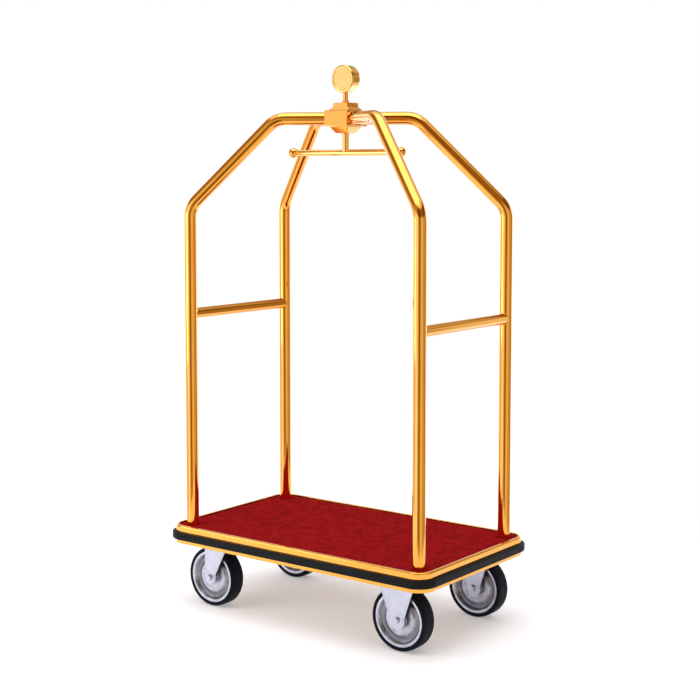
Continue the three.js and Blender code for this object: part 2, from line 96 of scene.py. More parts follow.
class Graph:
    """A node tree, built up from small chains. An input is a socket to link, or a plain value."""

    def __init__(self, tree):
        self.nodes = tree.nodes
        self.links = tree.links

    def feed(self, socket, value):
        if isinstance(value, bpy.types.NodeSocket):
            self.links.new(value, socket)
        else:
            socket.default_value = value

    def math(self, operation, first, second=0.0):
        node = self.nodes.new("ShaderNodeMath")
        node.operation = operation
        self.feed(node.inputs[0], first)
        self.feed(node.inputs[1], second)
        return node.outputs["Value"]

    def dot(self, vector, direction):
        node = self.nodes.new("ShaderNodeVectorMath")
        node.operation = "DOT_PRODUCT"
        self.feed(node.inputs[0], vector)
        self.feed(node.inputs[1], direction)
        return node.outputs["Value"]

    def smooth_step(self, value, start, end):
        """0 up to start, 1 from end on."""
        node = self.nodes.new("ShaderNodeMapRange")
        node.interpolation_type = "SMOOTHSTEP"
        self.feed(node.inputs["Value"], value)
        node.inputs["From Min"].default_value = start
        node.inputs["From Max"].default_value = end
        return node.outputs["Result"]

    def ramp(self, factor, stops, interpolation="LINEAR"):
        """Stops are (position, colour) or (position, grey level)."""
        ramp = self.nodes.new("ShaderNodeValToRGB")
        ramp.color_ramp.interpolation = interpolation
        elements = ramp.color_ramp.elements
        while len(elements) < len(stops):
            elements.new(0.5)
        for element, (position, colour) in zip(elements, stops):
            element.position = position
            element.color = (*colour, 1) if isinstance(colour, tuple) else (colour, colour, colour, 1)
        self.links.new(factor, ramp.inputs["Fac"])
        return ramp.outputs["Color"]


class Surface(Graph):
    """A procedural material. Keywords are plain values for the shader's own sockets, in snake case."""

    def __init__(self, name, **sockets):
        self.material = bpy.data.materials.new(name)
        self.material.use_nodes = True
        super().__init__(self.material.node_tree)
        self.shader = self.nodes["Principled BSDF"]
        for name, value in sockets.items():
            label = name.replace("_", " ").title().replace("Ior", "IOR")
            self.shader.inputs[label].default_value = value

    def coordinates(self, kind="Object", stretch=(1, 1, 1), offset=(0, 0, 0)):
        source = self.nodes.new("ShaderNodeTexCoord")
        mapping = self.nodes.new("ShaderNodeMapping")
        mapping.inputs["Scale"].default_value = stretch
        mapping.inputs["Location"].default_value = offset
        self.links.new(source.outputs[kind], mapping.inputs["Vector"])
        return mapping.outputs["Vector"]

    def noise(self, scale, detail=4.0, distortion=0.0, stretch=(1, 1, 1)):
        texture = self.nodes.new("ShaderNodeTexNoise")
        texture.inputs["Scale"].default_value = scale
        texture.inputs["Detail"].default_value = detail
        texture.inputs["Distortion"].default_value = distortion
        self.links.new(self.coordinates(stretch=stretch), texture.inputs["Vector"])
        return texture.outputs["Fac"]

    def cells(self, scale):
        texture = self.nodes.new("ShaderNodeTexVoronoi")
        texture.inputs["Scale"].default_value = scale
        self.links.new(self.coordinates(), texture.inputs["Vector"])
        return texture.outputs["Distance"]

    def rings(self, scale):
        """Turning marks about the piece's own Y axis."""
        texture = self.nodes.new("ShaderNodeTexWave")
        texture.wave_type = "RINGS"
        texture.rings_direction = "Y"
        texture.inputs["Scale"].default_value = scale
        texture.inputs["Distortion"].default_value = 1.5
        texture.inputs["Detail"].default_value = 3
        vector = self.coordinates("Generated", offset=MIDDLE)
        self.links.new(vector, texture.inputs["Vector"])
        return texture.outputs["Fac"]

    def multiply(self, first, second):
        """One colour times another. Sockets 6 and 7 of the node are its colours."""
        mixer = self.nodes.new("ShaderNodeMix")
        mixer.data_type = "RGBA"
        mixer.blend_type = "MULTIPLY"
        mixer.inputs[0].default_value = 1.0
        self.links.new(first, mixer.inputs[6])
        self.links.new(second, mixer.inputs[7])
        return mixer.outputs[2]

    def from_axle(self, radius):
        """Distance from the axle as a share of the wheel's radius, on a piece of that outer radius."""
        vector = self.coordinates("Generated", offset=MIDDLE)
        across = self.dot(vector, (1, 0, 0))
        up = self.dot(vector, (0, 0, 1))
        squares = self.math("ADD", self.math("MULTIPLY", across, across), self.math("MULTIPLY", up, up))
        return self.math("MULTIPLY", self.math("SQRT", squares), 2 * radius / WHEEL_RADIUS)

    def colour(self, output):
        self.links.new(output, self.shader.inputs["Base Color"])

    def roughness(self, output):
        self.links.new(output, self.shader.inputs["Roughness"])

    def bump(self, *layers):
        """Layers of (height, strength, distance), the first one deepest."""
        normal = None
        for height, strength, distance in layers:
            bump = self.nodes.new("ShaderNodeBump")
            bump.inputs["Strength"].default_value = strength
            bump.inputs["Distance"].default_value = distance
            self.links.new(height, bump.inputs["Height"])
            if normal is not None:
                self.links.new(normal, bump.inputs["Normal"])
            normal = bump.outputs["Normal"]
        self.links.new(normal, self.shader.inputs["Normal"])


# ---------------- materials

# Colours are linear. The scale of noise and cells is in features a metre.


def polished_gold(name, deep, light):
    gold = Surface(name, metallic=1.0, specular_tint=(1.0, 0.92, 0.75, 1),
                   coat_weight=0.9, coat_roughness=0.06, coat_ior=1.5)
    tarnish = gold.noise(7, detail=5)
    gold.colour(gold.ramp(tarnish, [(0.3, deep), (0.7, light)]))
    gold.roughness(gold.ramp(gold.noise(26, detail=7), [(0.35, 0.07), (0.75, 0.14)]))
    gold.bump((gold.noise(9, detail=2), 0.05, 0.003), (gold.noise(900, detail=2), 0.01, 0.0002))
    return gold.material


def deep_red_carpet():
    carpet = Surface("deep_red_carpet", specular_ior_level=0.0,
                     sheen_weight=0.03, sheen_roughness=0.5, sheen_tint=(1, 0.2, 0.2, 1))
    fibres = carpet.ramp(carpet.noise(420, detail=5), [
        (0.3, (0.2, 0.004, 0.005)),
        (0.5, (0.35, 0.009, 0.011)),
        (0.7, (0.49, 0.02, 0.022)),
    ])
    patches = carpet.ramp(carpet.noise(34, detail=8), [(0.35, 0.7), (0.65, 1.0)])
    carpet.colour(carpet.multiply(fibres, patches))
    carpet.roughness(carpet.ramp(carpet.noise(60), [(0.3, 0.88), (0.7, 1.0)]))
    carpet.bump((carpet.cells(330), 0.7, 0.002), (carpet.noise(1400, detail=3), 0.5, 0.0008))
    return carpet.material


def plywood():
    wood = Surface("plywood", specular_ior_level=0.3)
    grain = wood.noise(5, detail=8, distortion=0.6, stretch=(1, 14, 14))
    wood.colour(wood.ramp(grain, [
        (0.3, (0.3, 0.16, 0.07)),
        (0.5, (0.45, 0.27, 0.13)),
        (0.72, (0.58, 0.38, 0.2)),
    ]))
    wood.roughness(wood.ramp(grain, [(0.3, 0.75), (0.7, 0.6)]))
    wood.bump((wood.noise(60, detail=6, stretch=(1, 18, 18)), 0.25, 0.0006))
    return wood.material


def bumper_rubber():
    rubber = Surface("bumper_rubber", specular_ior_level=0.12)
    scuffs = rubber.noise(18, detail=9, stretch=(1, 1, 3))
    rubber.colour(rubber.ramp(scuffs, [(0.35, (0.003, 0.0045, 0.0045)), (0.75, (0.009, 0.011, 0.011))]))
    rubber.roughness(rubber.ramp(rubber.noise(70, detail=6), [(0.3, 0.38), (0.7, 0.58)]))
    rubber.bump((rubber.noise(700, detail=3), 0.12, 0.0004))
    return rubber.material


def tyre_rubber():
    rubber = Surface("tyre_rubber", specular_ior_level=0.08, specular_tint=(0.75, 0.88, 1.0, 1))
    dust = rubber.noise(30, detail=9)
    rubber.colour(rubber.ramp(dust, [(0.4, (0.004, 0.006, 0.01)), (0.8, (0.01, 0.013, 0.019))]))
    rubber.roughness(rubber.ramp(dust, [(0.3, 0.45), (0.75, 0.7)]))
    rubber.bump((rubber.noise(500, detail=4), 0.2, 0.0005))
    return rubber.material


def zinc_plate():
    zinc = Surface("zinc_plate", metallic=1.0)
    spangle = zinc.noise(38, detail=5, distortion=0.8)
    zinc.colour(zinc.ramp(spangle, [(0.3, (0.49, 0.51, 0.59)), (0.7, (0.56, 0.58, 0.67))]))
    zinc.roughness(zinc.ramp(zinc.noise(90, detail=6), [(0.3, 0.2), (0.7, 0.36)]))
    zinc.bump((zinc.noise(320, detail=3), 0.08, 0.0003))
    return zinc.material


def pressed_disc():
    disc = Surface("pressed_disc", metallic=1.0)
    stains = disc.ramp(disc.noise(44, detail=7), [(0.3, (0.39, 0.4, 0.46)), (0.7, (0.6, 0.61, 0.69))])
    turning = disc.ramp(disc.rings(40), [(0.2, 0.86), (0.8, 1.0)])
    # Painted shade darkens the disc over its recessed groove, and a painted highlight brightens the
    # raised ring at its rim.
    groove_shade_and_rim_highlight = disc.ramp(disc.from_axle(DISC_RADIUS), [
        (0.5, 1.0), (0.56, 0.62), (0.62, 0.4), (0.7, 0.45),
        (0.77, 0.75), (0.8, 1.0), (0.83, 1.25), (0.86, 1.25),
    ])
    disc.colour(disc.multiply(disc.multiply(stains, turning), groove_shade_and_rim_highlight))
    disc.roughness(disc.ramp(disc.rings(26), [(0.2, 0.22), (0.8, 0.36)]))
    disc.bump((disc.rings(60), 0.05, 0.0003), (disc.noise(260, detail=3), 0.06, 0.0003))
    return disc.material


def dark_steel():
    steel = Surface("dark_steel", metallic=1.0)
    scale = steel.noise(24, detail=8)
    steel.colour(steel.ramp(scale, [(0.3, (0.2, 0.21, 0.22)), (0.7, (0.36, 0.37, 0.39))]))
    steel.roughness(steel.ramp(steel.noise(65, detail=6), [(0.3, 0.34), (0.7, 0.55)]))
    steel.bump((steel.noise(280, detail=4), 0.1, 0.0004))
    return steel.material


FINISHES = {
    "gold": polished_gold("polished_gold", (0.85, 0.36, 0.03), (0.92, 0.41, 0.045)),
    "carpet": deep_red_carpet(),
    "plywood": plywood(),
    "bumper_rubber": bumper_rubber(),
    "tyre_rubber": tyre_rubber(),
    "zinc": zinc_plate(),
    "dark_steel": dark_steel(),
}
DISC_FINISH = pressed_disc()
# A paler copy of the polished gold, for the finial and the rail: a painted highlight, standing for
# these parts in brighter light.
PAINTED_HIGHLIGHT_GOLD_FINISH = polished_gold("painted_highlight_gold", (0.88, 0.5, 0.11), (0.95, 0.57, 0.15))

# ---------------- shapes

ALONG_X = Matrix.Rotation(math.pi / 2, 4, "Y")  # turns +Z to +X
ALONG_Y = Matrix.Rotation(-math.pi / 2, 4, "X")  # turns +Z to +Y
AGAINST_Y = Matrix.Rotation(math.pi / 2, 4, "X")  # turns +Z to -Y
UPSIDE_DOWN = Matrix.Rotation(math.pi, 4, "X")
UNTURNED = Matrix.Identity(4)
NEARLY_NOTHING = 1e-9


def raised(height):
    return Matrix.Translation((0, 0, height))


def full_turn(count):
    """Angles all the way round, in radians."""
    return [2 * math.pi * k / count for k in range(count)]


def rounded(points, closed=True, steps=4):
    """An outline with rounded corners, as 2-D points. Each given point is (u, v) or (u, v, radius)."""
    outline = []
    for i, (u, v, *radius) in enumerate(points):
        corner = Vector((u, v))
        is_end = not closed and i in (0, len(points) - 1)
        if not radius or is_end:
            outline.append(corner)
            continue
        before = Vector(points[i - 1][:2]) - corner
        after = Vector(points[(i + 1) % len(points)][:2]) - corner
        half_angle = before.angle(after) / 2
        reach = min(radius[0] / math.tan(half_angle), before.length / 2, after.length / 2)
        bisector = (before.normalized() + after.normalized()).normalized()
        centre = corner + bisector * reach / math.cos(half_angle)
        start = corner + before.normalized() * reach - centre
        end = corner + after.normalized() * reach - centre
        turn = start.angle(end)
        for k in range(steps + 1):
            share = k / steps
            spoke = start * math.sin((1 - share) * turn) + end * math.sin(share * turn)
            outline.append(centre + spoke / math.sin(turn))
    return outline


def skin(rings, loop=False):
    """A closed surface over rings of points. A ring of one point is a tip.

    loop joins the last ring to the first. Without it, the end rings are closed with a face each.
    """
    vertices, faces, starts = [], [], []
    for ring in rings:
        starts.append(len(vertices))
        vertices.extend(tuple(point) for point in ring)
    pairs = [(i, i + 1) for i in range(len(rings) - 1)]
    if loop:
        pairs.append((len(rings) - 1, 0))
    for a, b in pairs:
        count = max(len(rings[a]), len(rings[b]))
        for k in range(count):
            here, there = k, (k + 1) % count
            face = [
                starts[a] + here % len(rings[a]),
                starts[a] + there % len(rings[a]),
                starts[b] + there % len(rings[b]),
                starts[b] + here % len(rings[b]),
            ]
            faces.append(list(dict.fromkeys(face)))
    if not loop:
        for i in (0, len(rings) - 1):
            if len(rings[i]) > 2:
                faces.append(list(range(starts[i], starts[i] + len(rings[i]))))
    return vertices, faces


def turned(outline, segments, matrix=UNTURNED, closed=False, steps=4):
    """A rounded outline of (radius, height) points turned about the Z axis, then placed by a matrix."""
    rings = []
    for radius, height in rounded(outline, closed, steps):
        if radius < NEARLY_NOTHING:
            rings.append([matrix @ Vector((0, 0, height))])
            continue
        spokes = [(radius * math.cos(a), radius * math.sin(a)) for a in full_turn(segments)]
        rings.append([matrix @ Vector((x, y, height)) for x, y in spokes])
    return skin(rings, loop=closed)


def rectangle_path(half_x, half_y, corner, steps):
    """Points round a rounded rectangle and their outward directions, from the middle of its +Y side."""
    path = [(Vector((0, half_y, 0)), Vector((0, 1, 0)))]
    for quarter, (side_x, side_y) in enumerate([(1, 1), (1, -1), (-1, -1), (-1, 1)]):
        centre = Vector((side_x * (half_x - corner), side_y * (half_y - corner), 0))
        for k in range(steps + 1):
            angle = math.pi / 2 * (1 - quarter - k / steps)
            outward = Vector((math.cos(angle), math.sin(angle), 0))
            path.append((centre + outward * corner, outward))
    return path


def block(half_x, half_y, corner, outline, steps=4):
    """An upright block with rounded corners. Its outline's points are (outward offset, height)."""
    rings = []
    for grow, z in rounded(outline, closed=False):
        path = rectangle_path(half_x + grow, half_y + grow, corner, steps)
        rings.append([point + Vector((0, 0, z)) for point, _ in path])
    return skin(rings)


def strip(path, section, loop=True):
    """A section of (outward offset, height) points swept along a path."""
    rings = [[point + outward * u + Vector((0, 0, v)) for u, v in section] for point, outward in path]
    return skin(rings, loop=loop)


def tube(points, side, radius, sides, loop=False):
    """A round bar along points. side is one direction across the whole of it."""
    rings = []
    count = len(points)
    for i, point in enumerate(points):
        before = points[i - 1] if loop or i > 0 else point
        after = points[(i + 1) % count] if loop or i < count - 1 else point
        across = (after - before).cross(side).normalized()
        spokes = [math.cos(a) * side + math.sin(a) * across for a in full_turn(sides)]
        rings.append([point + radius * spoke for spoke in spokes])
    return skin(rings, loop=loop)


HEX_CHAMFER = 0.12  # height of a chamfer, as a share of the width across flats
HEX_CORNER = 0.16  # how far past the flats a corner may stand out, as a share of their distance
HEX_POINTS = 36  # round it, a multiple of 6


def hexagon(across, height, matrix):
    """A hex nut or bolt head from z 0 up, with its corners chamfered at both ends."""
    apothem = across / 2
    chamfer = HEX_CHAMFER * across
    sixth = math.pi / 3
    rings = []
    levels = [(0, 0.0), (chamfer / 2, 0.5), (chamfer, 1.0)]
    levels += [(height - z, share) for z, share in reversed(levels)]
    for z, share in levels:
        ring = []
        for angle in full_turn(HEX_POINTS):
            from_flat = (angle + sixth / 2) % sixth - sixth / 2
            corner = apothem / math.cos(from_flat)
            reach = min(corner, apothem * (1 + share * HEX_CORNER))
            ring.append(matrix @ Vector((reach * math.cos(angle), reach * math.sin(angle), z)))
        rings.append(ring)
    return skin(rings)


THREAD_CREST = 0.35  # where a crest ends, in pitches
THREAD_ROOT = 0.7
THREAD_DEPTH = 0.4


def thread(radius, length, matrix, pitch=mm(1.75)):
    """A threaded rod from z 0 up: grooves in place of a helix, and a chamfered end."""
    outline = [(0, 0), (radius, 0)]
    for k in range(int(length / pitch)):
        z = k * pitch
        crest = (radius, z + THREAD_CREST * pitch)
        root = (radius - THREAD_DEPTH * pitch, z + THREAD_ROOT * pitch)
        outline += [crest, root]
    outline += [(radius, length - mm(1)), (radius - mm(1.2), length), (0, length)]
    return turned(outline, 24, matrix)


def dome(radius, height, matrix):
    """A low rivet head from z 0 up."""
    outline = [(0, 0), (radius, 0), (radius, 0.25 * height), (0.8 * radius, 0.7 * height)]
    outline += [(0.5 * radius, 0.93 * height), (0, height)]
    return turned(outline, 16, matrix)


def merge(*shapes):
    vertices, faces = [], []
    for shape_vertices, shape_faces in shapes:
        start = len(vertices)
        vertices.extend(shape_vertices)
        faces.extend([start + index for index in face] for face in shape_faces)
    return vertices, faces


def moved(shape, matrix):
    vertices, faces = shape
    return [tuple(matrix @ Vector(vertex)) for vertex in vertices], faces


def add_even_normals(piece):
    """Flat faces shade flat between their rounded edges."""
    piece.modifiers.new("even_normals", "WEIGHTED_NORMAL").keep_sharp = True


def add_piece(name, shape, slot, body, stands_for=(), finish=None, sharp_degrees=32):
    """A piece of the object from a shape, which is its vertices and faces in the CAD frame."""
    vertices, faces = shape
    mesh = bpy.data.meshes.new(name)
    mesh.from_pydata(vertices, [], faces)
    shell = bmesh.new()
    shell.from_mesh(mesh)
    bmesh.ops.recalc_face_normals(shell, faces=shell.faces)
    shell.to_mesh(mesh)
    shell.free()
    mesh.shade_smooth()
    mesh.set_sharp_from_angle(angle=math.radians(sharp_degrees))
    mesh.materials.append(finish or FINISHES[slot])
    piece = new_object(name, mesh)
    add_even_normals(piece)
    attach(piece, body)
    if stands_for:
        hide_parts(*stands_for)


# ---------------- deck

RIM_CORNER = mm(55)
RIM_WALL = mm(3)
RIM_LIP = mm(11)
LIP_THICKNESS = mm(3)
BUMPER_GAP = mm(0.3)  # between the rim and the bumper's back
BUMPER_SEAM = mm(0.5)  # half the gap between the strip's two ends

rim_low, rim_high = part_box("rim_frame")


def deck_path():
    return rectangle_path(rim_high.x, rim_high.y, RIM_CORNER, steps=16)


def add_rim():
    """One channel round the deck: an outer wall, and a lip over the carpet's edge."""
    section = rounded([
        (0, rim_low.z, mm(1.4)),
        (0, rim_high.z, mm(5)),
        (-RIM_LIP, rim_high.z, mm(1.4)),
        (-RIM_LIP, rim_high.z - LIP_THICKNESS, mm(0.8)),
        (-RIM_WALL, rim_high.z - LIP_THICKNESS, mm(1)),
        (-RIM_WALL, rim_low.z, mm(1.4)),
    ], steps=5)
    add_piece("rim", strip(deck_path(), section), "gold", "cart", ["rim_frame"])


def add_bumper():
    """A strip with round outer edges, joined with a fine seam in the middle of the back."""
    low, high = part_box("bumper_strip")
    depth = high.x - rim_high.x
    section = rounded([
        (BUMPER_GAP, low.z, mm(1)),
        (depth, low.z, mm(10)),
        (depth, high.z, mm(10)),
        (BUMPER_GAP, high.z, mm(1)),
    ], steps=8)
    path = deck_path()
    first, outward = path[0]
    path[0] = (first + Vector((BUMPER_SEAM, 0, 0)), outward)
    path.append((first - Vector((BUMPER_SEAM, 0, 0)), outward))
    add_piece("bumper", strip(path, section, loop=False), "bumper_rubber", "cart", ["bumper_strip"])


CARPET_GRID = mm(4.5)
PILE_HEIGHT = mm(0.7)
EDGE_ROLL = mm(1.1)  # how far the pile falls away at the carpet's cut edges
EDGE_ROLL_WIDTH = mm(6)
POST_X = mm(471.5)
POST_Y = mm(250)
POST_RADIUS = mm(21.2)
POST_HOLE = POST_RADIUS + mm(0.4)
# the cart's corners: name, side along X, side along Y
CORNERS = [("front_left", -1, -1), ("front_right", 1, -1), ("back_left", -1, 1), ("back_right", 1, 1)]


def pile_surface(high):
    """The top of a cut-pile carpet: a fine grid with uneven tufts, cut out round the posts."""
    draws = random.Random(7)
    corner = RIM_CORNER - (rim_high.x - high.x)
    columns = round(2 * high.x / CARPET_GRID)
    rows = round(2 * high.y / CARPET_GRID)
    posts = [Vector((side_x * POST_X, side_y * POST_Y)) for _, side_x, side_y in CORNERS]
    sheet = bmesh.new()
    grid = []
    in_hole = set()
    for i in range(columns + 1):
        x = high.x * (2 * i / columns - 1)
        past = max(0.0, abs(x) - (high.x - corner))
        reach_y = high.y - corner + math.sqrt(max(0.0, corner ** 2 - past ** 2))
        line = []
        for j in range(rows + 1):
            place = Vector((x, reach_y * (2 * j / rows - 1)))
            post = min(posts, key=lambda middle: (place - middle).length)
            from_post = (place - post).length
            is_inside = from_post < POST_HOLE
            if is_inside:
                place = post + (place - post).normalized() * POST_HOLE
            from_hole = (place - post).length - POST_HOLE
            from_edge = min(high.x - abs(place.x), reach_y - abs(place.y), from_hole)
            roll = EDGE_ROLL * max(0.0, 1 - from_edge / EDGE_ROLL_WIDTH) ** 2
            vertex = sheet.verts.new((*place, high.z - roll - draws.random() * PILE_HEIGHT))
            line.append(vertex)
            if is_inside:
                in_hole.add(vertex)
        grid.append(line)
    for i in range(columns):
        for j in range(rows):
            corners = (grid[i][j], grid[i + 1][j], grid[i + 1][j + 1], grid[i][j + 1])
            if not in_hole.issuperset(corners):
                sheet.faces.new(corners)
    loose = [vertex for vertex in sheet.verts if not vertex.link_faces]
    bmesh.ops.delete(sheet, geom=loose, context="VERTS")
    return sheet


def add_carpet():
    """The pile's surface, thickened down to a flat-backed sheet."""
    low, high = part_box("carpet")
    sheet = pile_surface(high)
    mesh = bpy.data.meshes.new("carpet_pile")
    sheet.to_mesh(mesh)
    sheet.free()
    mesh.shade_smooth()
    mesh.materials.append(FINISHES["carpet"])
    carpet = new_object("carpet_pile", mesh)
    backing = carpet.modifiers.new("backing", "SOLIDIFY")
    backing.thickness = high.z - low.z - PILE_HEIGHT - EDGE_ROLL
    backing.offset = -1
    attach(carpet, "cart")
    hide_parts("carpet")


SOFT_EDGE = mm(0.8)


def keep_cad_node(name, slot):
    """A CAD node whose shape is right stays, with softened edges and a procedural finish."""
    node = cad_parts[name]
    for material_slot in node.material_slots:
        material_slot.material = FINISHES[slot]
    bevel = node.modifiers.new("soft_edges", "BEVEL")
    bevel.width = SOFT_EDGE
    bevel.segments = 2
    bevel.limit_method = "ANGLE"
    bevel.angle_limit = math.radians(50)
    add_even_normals(node)


add_rim()
add_bumper()
add_carpet()
keep_cad_node("deck_board", "plywood")
for place in ("left", "middle", "right"):
    keep_cad_node(f"cross_channel_{place}", "dark_steel")

# ---------------- birdcage

POST_BEND = mm(80)
SHOULDER_HEIGHT = mm(1366)
HUB_HEIGHT = mm(1661.5)
SLANT_END = 0.442  # where the slanted and the level axis cross, as a share of the post's reach
ARM_IN_HUB = mm(4)
CROSSBAR_RADIUS = mm(18)
CROSSBAR_HEIGHT = mm(1004)
BEAD = mm(1.7)  # radius of a dressed weld bead
BEAD_SIDES = 10
TUBE_SIDES = 48

hub_low, hub_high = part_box("hub_body")


def add_post(place, side_x, side_y):
    low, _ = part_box(f"post_{place}")
    reach = math.hypot(POST_X, POST_Y)
    into_hub = reach * (hub_high.x - ARM_IN_HUB) / POST_X
    line = rounded([
        (reach, low.z),
        (reach, SHOULDER_HEIGHT, POST_BEND),
        (reach * SLANT_END, HUB_HEIGHT, POST_BEND),
        (into_hub, HUB_HEIGHT),
    ], closed=False, steps=14)
    outward = Vector((side_x * POST_X, side_y * POST_Y, 0)).normalized()
    points = [outward * u + Vector((0, 0, v)) for u, v in line]
    side = outward.cross(Vector((0, 0, 1)))
    post = tube(points, side, POST_RADIUS, TUBE_SIDES)
    add_piece(f"post_tube_{place}", post, "gold", "cart", [f"post_{place}"])


def hub_bead(side_x, side_y):
    """The dressed weld where an arm enters the hub: an ellipse on the hub's face."""
    slant = math.atan2(POST_Y, POST_X)
    centre = Vector((side_x * hub_high.x, side_y * POST_Y * hub_high.x / POST_X, HUB_HEIGHT))
    points = []
    for angle in full_turn(TUBE_SIDES):
        across = POST_RADIUS * math.cos(angle) / math.cos(slant)
        points.append(centre + Vector((0, across, POST_RADIUS * math.sin(angle))))
    return tube(points, Vector((1, 0, 0)), BEAD, BEAD_SIDES, loop=True)


def saddle_points(side_x, side_y, depth=0.0):
    """The line where a crossbar meets a post, or one that lies deeper inside the post."""
    points = []
    for angle in full_turn(TUBE_SIDES):
        across = CROSSBAR_RADIUS * math.cos(angle)
        reach = POST_Y - math.sqrt(POST_RADIUS ** 2 - across ** 2) + depth
        height = CROSSBAR_HEIGHT + CROSSBAR_RADIUS * math.sin(angle)
        points.append(Vector((side_x * POST_X + across, side_y * reach, height)))
    return points


def add_crossbar(place, side_x):
    rings = [saddle_points(side_x, side_y, depth=mm(1)) for side_y in (-1, 1)]
    add_piece(f"crossbar_tube_{place}", skin(rings), "gold", "cart", [f"crossbar_{place}"])
    beads = []
    for side_y in (-1, 1):
        line = saddle_points(side_x, side_y)
        beads.append(tube(line, Vector((0, 1, 0)), BEAD, BEAD_SIDES, loop=True))
    add_piece(f"crossbar_welds_{place}", merge(*beads), "gold", "cart")


for corner in CORNERS:
    add_post(*corner)
add_crossbar("left", -1)
add_crossbar("right", 1)
hub_beads = [hub_bead(side_x, side_y) for _, side_x, side_y in CORNERS]
add_piece("hub_welds", merge(*hub_beads), "gold", "cart")

# ---------------- post fastenings under the deck

STUD_RADIUS = mm(6)
STUD_LENGTH = mm(24)  # of its threaded end
STUD_NUT = mm(19)  # across flats
STUD_NUT_HEIGHT = mm(7.5)
STUD_WASHER = mm(2.2)
PLUG_RADIUS = mm(19)
PLUG_HEIGHT = mm(42)


def add_post_fastening(place, side_x, side_y):
    """The plug's threaded stud with its washer and nut, below the board."""
    low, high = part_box(f"post_plug_{place}")
    board_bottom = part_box("deck_board")[0].z
    washer_bottom = board_bottom - STUD_WASHER
    plug_bottom = high.z - PLUG_HEIGHT
    shank_bottom = low.z + STUD_LENGTH - mm(4)
    at = Matrix.Translation((side_x * POST_X, side_y * POST_Y, 0))
    plug = turned([
        (0, shank_bottom),
        (STUD_RADIUS, shank_bottom),
        (STUD_RADIUS, plug_bottom),
        (PLUG_RADIUS, plug_bottom, mm(0.5)),
        (PLUG_RADIUS, high.z, mm(2)),
        (0, high.z),
    ], 32, at)
    washer = turned([
        (STUD_RADIUS, washer_bottom),
        (mm(14), washer_bottom, mm(0.5)),
        (mm(14), board_bottom, mm(0.5)),
        (STUD_RADIUS, board_bottom),
    ], 32, at, closed=True)
    nut_place = raised(washer_bottom - STUD_NUT_HEIGHT)
    nut = hexagon(STUD_NUT, STUD_NUT_HEIGHT, at @ nut_place)
    down = at @ raised(low.z + STUD_LENGTH) @ UPSIDE_DOWN
    stud = thread(STUD_RADIUS, STUD_LENGTH, down)
    bolt = merge(plug, washer, nut, stud)
    add_piece(f"post_bolt_{place}", bolt, "dark_steel", "cart", [f"post_plug_{place}"])


for corner in CORNERS:
    add_post_fastening(*corner)

# ---------------- hub, finial and hanging rail


def add_hub():
    """The block that the arms enter, and a stepped cap above and below it."""
    body = block(hub_high.x, hub_high.y, mm(3), [
        (-mm(12), hub_low.z),
        (0, hub_low.z, mm(3)),
        (0, hub_high.z, mm(3)),
        (-mm(12), hub_high.z),
    ])
    add_piece("hub_block", body, "gold", "cart", ["hub_body"])

    low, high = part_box("hub_cap_top")
    top = block(high.x, high.x, mm(2.4), [
        (-mm(20), low.z),
        (0, low.z, mm(0.8)),
        (-mm(8.5), low.z + mm(9.7), mm(1)),
        (-mm(10), low.z + mm(10), mm(0.4)),
        (-mm(11.5), high.z - mm(1), mm(1.6)),
        (-mm(13), high.z, mm(1)),
        (-mm(22), high.z),
    ])
    add_piece("hub_top_cap", top, "gold", "cart", ["hub_cap_top"])

    low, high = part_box("hub_cap_bottom")
    bottom = block(high.x, high.x, mm(2.4), [
        (-mm(24), low.z),
        (-mm(14), low.z, mm(2)),
        (0, high.z - mm(1.5), mm(1)),
        (0, high.z, mm(0.6)),
        (-mm(20), high.z),
    ])
    add_piece("hub_bottom_cap", bottom, "gold", "cart", ["hub_cap_bottom"])


def add_finial():
    """A collared stem, and a disc with a raised edge on each face."""
    low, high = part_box("finial_stem")
    _, cap_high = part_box("hub_cap_top")
    disc_low, disc_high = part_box("finial_disc")
    centre = (disc_low + disc_high) / 2
    half = disc_high.y
    radius = (disc_high.z - disc_low.z) / 2
    stem = turned([
        (0, low.z),
        (mm(5), low.z, mm(0.8)),
        (mm(5), cap_high.z),
        (mm(13), cap_high.z, mm(1)),
        (mm(13), cap_high.z + mm(4), mm(2)),
        (mm(9), cap_high.z + mm(8), mm(4)),
        (mm(9), high.z),
        (0, high.z),
    ], 40)
    add_piece("finial_neck", stem, "gold", "cart", ["finial_stem"])
    face = [
        (0, half - mm(1.2)),
        (radius - mm(10.5), half - mm(1.2), mm(1)),
        (radius - mm(9), half, mm(1)),
        (radius, half, mm(6)),
    ]
    back = [(r, -y, *fillet) for r, y, *fillet in reversed(face)]
    disc = turned(face + back, 96, Matrix.Translation(centre) @ ALONG_Y, steps=6)
    # The medallion wears the paler copy of the gold: a painted highlight.
    add_piece("finial_medallion", disc, "gold", "cart", ["finial_disc"],
              finish=PAINTED_HIGHLIGHT_GOLD_FINISH, sharp_degrees=40)


def add_hanging_rail():
    """A flanged stem under the hub, the bar it holds, and a ball on each end."""
    _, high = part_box("rail_stem")
    rail_low, rail_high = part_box("hanging_rail")
    centre_z = (rail_low.z + rail_high.z) / 2
    rail_radius = (rail_high.z - rail_low.z) / 2
    stem_radius = high.x
    stem = turned([
        (0, centre_z),
        (stem_radius, centre_z),
        (stem_radius, high.z - mm(5), mm(1)),
        (stem_radius + mm(3), high.z - mm(4), mm(1)),
        (stem_radius + mm(3), high.z + mm(0.3), mm(0.6)),
        (0, high.z + mm(0.3)),
    ], 40)
    # The rail's stem and bar wear the paler copy of the gold: a painted highlight.
    add_piece("rail_post", stem, "gold", "cart", ["rail_stem"], finish=PAINTED_HIGHLIGHT_GOLD_FINISH)
    bar = turned([
        (0, rail_low.x),
        (rail_radius, rail_low.x),
        (rail_radius, rail_high.x),
        (0, rail_high.x),
    ], 40, raised(centre_z) @ ALONG_X)
    add_piece("rail_bar", bar, "gold", "cart", ["hanging_rail"], finish=PAINTED_HIGHLIGHT_GOLD_FINISH)
    for place in ("left", "right"):
        add_rail_ball(place, rail_radius)


